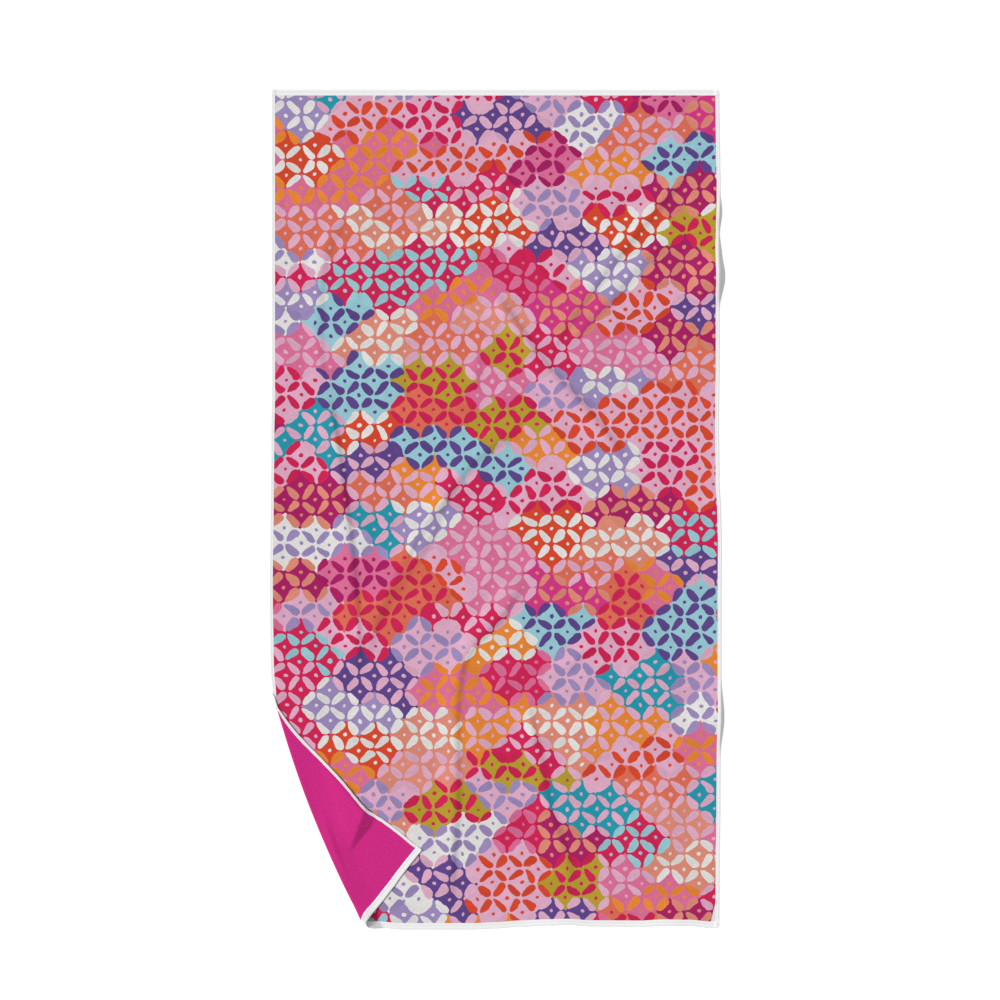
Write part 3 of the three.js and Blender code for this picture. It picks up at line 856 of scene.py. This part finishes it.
def printed_pile():
    """Brushed petals crossing on a slanted lattice, a seed between them, each patch in two colours."""
    weave = Weave("printed microfibre pile")
    flat = weave.add("ShaderNodeUVMap", uv_map="flat cloth").outputs["UV"]
    drawn = flat
    for waves, reach in WANDERS:
        wander = weave.shift(weave.grain(flat, waves, output="Color"), (-0.5, -0.5, -0.5))
        drawn = weave.shift(drawn, weave.scaled(wander, reach))
    lattice = weave.add("ShaderNodeMapping", {
        "Vector": drawn, "Rotation": (0, 0, LATTICE_TURN), "Scale": (1 / PETAL_SPACING,) * 3,
    }).outputs["Vector"]
    split = weave.add("ShaderNodeSeparateXYZ", {"Vector": lattice})
    u, v = split.outputs["X"], split.outputs["Y"]
    near_u, near_v = weave.sum("ROUND", u), weave.sum("ROUND", v)
    off_u, off_v = weave.sum("SUBTRACT", u, near_u), weave.sum("SUBTRACT", v, near_v)
    far_u, far_v = weave.sum("ABSOLUTE", off_u), weave.sum("ABSOLUTE", off_v)

    upright = weave.sum("GREATER_THAN", far_u, far_v)
    half_u = weave.sum("ADD", weave.sum("FLOOR", u), 0.5)
    half_v = weave.sum("ADD", weave.sum("FLOOR", v), 0.5)
    petal_u, petal_v = weave.either(upright, near_u, half_u), weave.either(upright, half_v, near_v)
    own_u, own_v = weave.sum("SUBTRACT", u, petal_u), weave.sum("SUBTRACT", v, petal_v)
    across, along = weave.either(upright, own_v, own_u), weave.either(upright, own_u, own_v)

    def patch(at_u, at_v):
        at = weave.add("ShaderNodeCombineXYZ", {"X": at_u, "Y": at_v}).outputs["Vector"]
        back = weave.add("ShaderNodeMapping", {
            "Vector": at, "Rotation": (0, 0, -LATTICE_TURN), "Scale": (PETAL_SPACING,) * 3,
        }).outputs["Vector"]
        wide = weave.add("ShaderNodeMapping", {
            "Vector": back, "Scale": (1 / PATCH_ACROSS, 1 / PATCH_ALONG, 1.0),
        }).outputs["Vector"]
        cells = weave.add("ShaderNodeTexVoronoi", {"Vector": wide, "Scale": 1.0}, voronoi_dimensions="2D")
        kind = weave.add("ShaderNodeSeparateColor", {"Color": cells.outputs["Color"]}).outputs["Red"]
        chance = weave.add("ShaderNodeTexWhiteNoise", {"Vector": at}, noise_dimensions="2D")
        chances = weave.add("ShaderNodeSeparateColor", {"Color": chance.outputs["Color"]})
        return kind, chance.outputs["Value"], chances.outputs

    petal_patch, petal_shade, petal_chance = patch(petal_u, petal_v)
    ground_patch, ground_shade, ground_chance = patch(near_u, near_v)
    tilt = weave.span(petal_chance["Red"], 0, 1, -PETAL_TILT, PETAL_TILT)
    stray = weave.span(petal_chance["Green"], 0, 1, -PETAL_STRAY, PETAL_STRAY)
    width = weave.span(petal_chance["Blue"], 0, 1, *PETAL_HALF_WIDTH)
    leant = weave.sum("ADD", weave.sum("MULTIPLY_ADD", along, tilt, across), stray)
    swelling = weave.sum("MULTIPLY", width, weave.sum("MULTIPLY_ADD", along, PETAL_SWELL, 1.0))
    thin = weave.sum("POWER", weave.sum("ABSOLUTE", weave.sum("DIVIDE", leant, swelling)), 2.0)
    far_along = weave.sum("ABSOLUTE", weave.sum("DIVIDE", along, PETAL_HALF_LENGTH))
    long = weave.sum("POWER", far_along, PETAL_BLUNT)
    petal = weave.span(weave.sum("ADD", thin, long), *PETAL_EDGE, 1.0, 0.0, smooth=True)
    squares = weave.sum("ADD", weave.sum("POWER", far_u, 2.0), weave.sum("POWER", far_v, 2.0))
    seed_at = weave.sum("SQRT", squares)
    seed_size = weave.span(ground_chance["Red"], 0, 1, *SEED_RADII)
    past_seed = weave.sum("SUBTRACT", seed_at, seed_size)
    seed = weave.span(past_seed, -SEED_EDGE, SEED_EDGE, 1.0, 0.0, smooth=True)

    ground_tone = weave.span(ground_shade, 0, 1, *GROUND_SHADES)
    ground = weave.tone(patch_ramp(weave, ground_patch, 0), ground_tone)
    seeds = weave.tone(patch_ramp(weave, ground_patch, 1), weave.span(ground_shade, 0, 1, *SEED_SHADES))
    petals = weave.tone(patch_ramp(weave, petal_patch, 1), weave.span(petal_shade, 0, 1, *PETAL_SHADES))
    streaks = weave.add("ShaderNodeCombineXYZ", {
        "X": weave.sum("MULTIPLY", across, PETAL_STREAKS[0]),
        "Y": weave.sum("MULTIPLY", along, PETAL_STREAKS[1]),
        "Z": petal_shade,
    }).outputs["Vector"]
    petals = weave.tone(petals, weave.mottle(weave.grain(streaks, 1.0), *STREAK_SHADES))
    colour = weave.blend(petal, weave.blend(seed, ground, seeds), petals)

    place_on_cloth = weave.add("ShaderNodeSeparateXYZ", {"Vector": flat})
    from_right = weave.sum("SUBTRACT", (WIDTH - SIDE_HEM) * MM, place_on_cloth.outputs["X"])
    bare_to = weave.span(place_on_cloth.outputs["Y"], END_HEM * MM, BARE_TOP, BARE_WIDTH, 0.0)
    bare = weave.span(weave.sum("SUBTRACT", from_right, bare_to), -BARE_EDGE, BARE_EDGE, 1.0, 0.0)
    bare = weave.sum("MULTIPLY", bare, weave.span(bare_to, 0.0, 0.0005, 0.0, 1.0))
    colour = weave.blend(bare, colour, paint(WHITE))

    soaked = weave.mottle(weave.grain(flat, SOAKING, 4.0), *SOAKED_SHADES)
    tufts = weave.grain(flat, TUFTS, 3.0)
    colour = weave.tone(weave.tone(colour, soaked), weave.mottle(tufts, *TUFT_SHADES))
    weave.join(colour, weave.shader.inputs["Base Color"])
    weave.pile(tufts, depth=0.0010, strength=0.6)
    return weave.finish(roughness=0.95, sheen=0.08)


def magenta_back():
    weave = Weave("magenta microfibre back")
    flat = weave.add("ShaderNodeUVMap", uv_map="flat cloth").outputs["UV"]
    tufts = weave.grain(flat, TUFTS, 3.0)
    dye = weave.span(weave.grain(flat, BACK_DYE, 3.0), *BACK_DYE_RANGE, 0.0, 1.0)
    speck = weave.grain(flat, BACK_SPECKS, 1.0)
    speck = weave.span(speck, *BACK_SPECK_RANGE, BACK_SPECK_SHADE, 1.0)
    clouds = weave.mottle(weave.grain(flat, BACK_CLOUDS), *BACK_CLOUD_SHADES)
    colour = weave.blend(dye, paint(BACK_CRIMSON), paint(BACK_MAGENTA))
    worn = weave.sum("MULTIPLY", speck, clouds)
    value = weave.sum("MULTIPLY", weave.mottle(tufts, *BACK_TUFT_SHADES), worn)
    weave.join(weave.tone(colour, value), weave.shader.inputs["Base Color"])
    weave.pile(tufts, depth=0.0008, strength=0.45)
    return weave.finish(roughness=0.95, sheen=0.08)


def white_hem():
    weave = Weave("white turned hem")
    flat = weave.add("ShaderNodeUVMap", uv_map="flat cloth").outputs["UV"]
    fibres = weave.grain(flat, HEM_FIBRES, 3.0)
    colour = weave.tone(paint(HEM_WHITE), weave.mottle(fibres, *HEM_SHADES))
    weave.join(colour, weave.shader.inputs["Base Color"])
    weave.pile(fibres, depth=0.0004, strength=0.35)
    return weave.finish(roughness=0.9, sheen=0.1)


def hem_thread():
    weave = Weave("white hem thread")
    where = weave.add("ShaderNodeTexCoord").outputs["Object"]
    twist = weave.grain(where, THREAD_TWIST, 1.0)
    colour = weave.tone(paint(THREAD_WHITE), weave.mottle(twist, *THREAD_SHADES))
    weave.join(colour, weave.shader.inputs["Base Color"])
    return weave.finish(roughness=0.7, sheen=0.1, specular=0.3)


def pale_floor():
    weave = Weave("pale studio floor")
    weave.shader.inputs["Base Color"].default_value = FLOOR_GREY
    weave.shader.inputs["Emission Color"].default_value = PURE_WHITE
    weave.shader.inputs["Emission Strength"].default_value = FLOOR_GLOW
    return weave.finish(roughness=1.0, sheen=0.0, specular=0.0)


def make_floor():
    bpy.ops.mesh.primitive_plane_add(size=FLOOR_SIZE, location=(0, 0, 0))
    floor = bpy.context.active_object
    floor.name = "floor"
    floor.data.materials.append(pale_floor())
    return floor


def light_studio():
    world = bpy.data.worlds.new("soft studio")
    bpy.context.scene.world = world
    world.use_nodes = True
    backdrop = world.node_tree.nodes["Background"]
    backdrop.inputs["Color"].default_value = PURE_WHITE
    strength = world.node_tree.nodes.new("ShaderNodeMath")
    strength.operation = "MULTIPLY_ADD"
    strength.inputs[1].default_value = BACKDROP_LIGHT
    strength.inputs[2].default_value = SOFT_LIGHT
    seen = world.node_tree.nodes.new("ShaderNodeLightPath").outputs["Is Camera Ray"]
    world.node_tree.links.new(seen, strength.inputs[0])
    world.node_tree.links.new(strength.outputs[0], backdrop.inputs["Strength"])
    key = bpy.data.lights.new("key light", "SUN")
    key.energy = LAMP_STRENGTH
    key.angle = LAMP_SPREAD
    lamp = bpy.data.objects.new("key light", key)
    lamp.rotation_mode = "QUATERNION"
    lamp.rotation_quaternion = TOWARD_LAMP.to_track_quat("Z", "Y")
    bpy.context.collection.objects.link(lamp)
    scene = bpy.context.scene
    scene.view_settings.view_transform = "Standard"
    scene.view_settings.look = "None"


def aim_camera():
    """Straight above the towel, as the photograph was taken."""
    camera = bpy.data.objects.new("camera", bpy.data.cameras.new("camera"))
    camera.data.lens = CAMERA_LENS
    camera.data.sensor_width = CAMERA_SENSOR
    camera.location = CAMERA_AT
    camera.rotation_euler = (0, 0, 0)
    camera.data.clip_end = 100.0
    bpy.context.collection.objects.link(camera)
    bpy.context.scene.camera = camera


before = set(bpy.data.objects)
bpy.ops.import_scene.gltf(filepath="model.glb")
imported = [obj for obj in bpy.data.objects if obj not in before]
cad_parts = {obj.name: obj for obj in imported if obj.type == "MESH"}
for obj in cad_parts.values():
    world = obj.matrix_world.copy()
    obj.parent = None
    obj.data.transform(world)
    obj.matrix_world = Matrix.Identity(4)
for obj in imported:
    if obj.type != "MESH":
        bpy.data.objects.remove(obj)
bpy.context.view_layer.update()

materials = {"print": printed_pile(), "hem": white_hem(), "back": magenta_back(), "thread": hem_thread()}
cut_points = np.concatenate([grid.reshape(-1, 2) for grid in (panel_grid(), *corner_grids())])
laid = place(cut_points)[:, :2]
box_low, box_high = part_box("towel")
box_middle = np.array((box_low + box_high)[:2]) / 2
centre = box_middle - (laid.min(axis=0) + laid.max(axis=0)) / 2 * MM

towel = make_towel(materials, centre)
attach(towel, "root")
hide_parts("towel")

stitches = make_stitches(materials["thread"], centre)
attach(stitches, "root")

make_floor()
light_studio()
aim_camera()
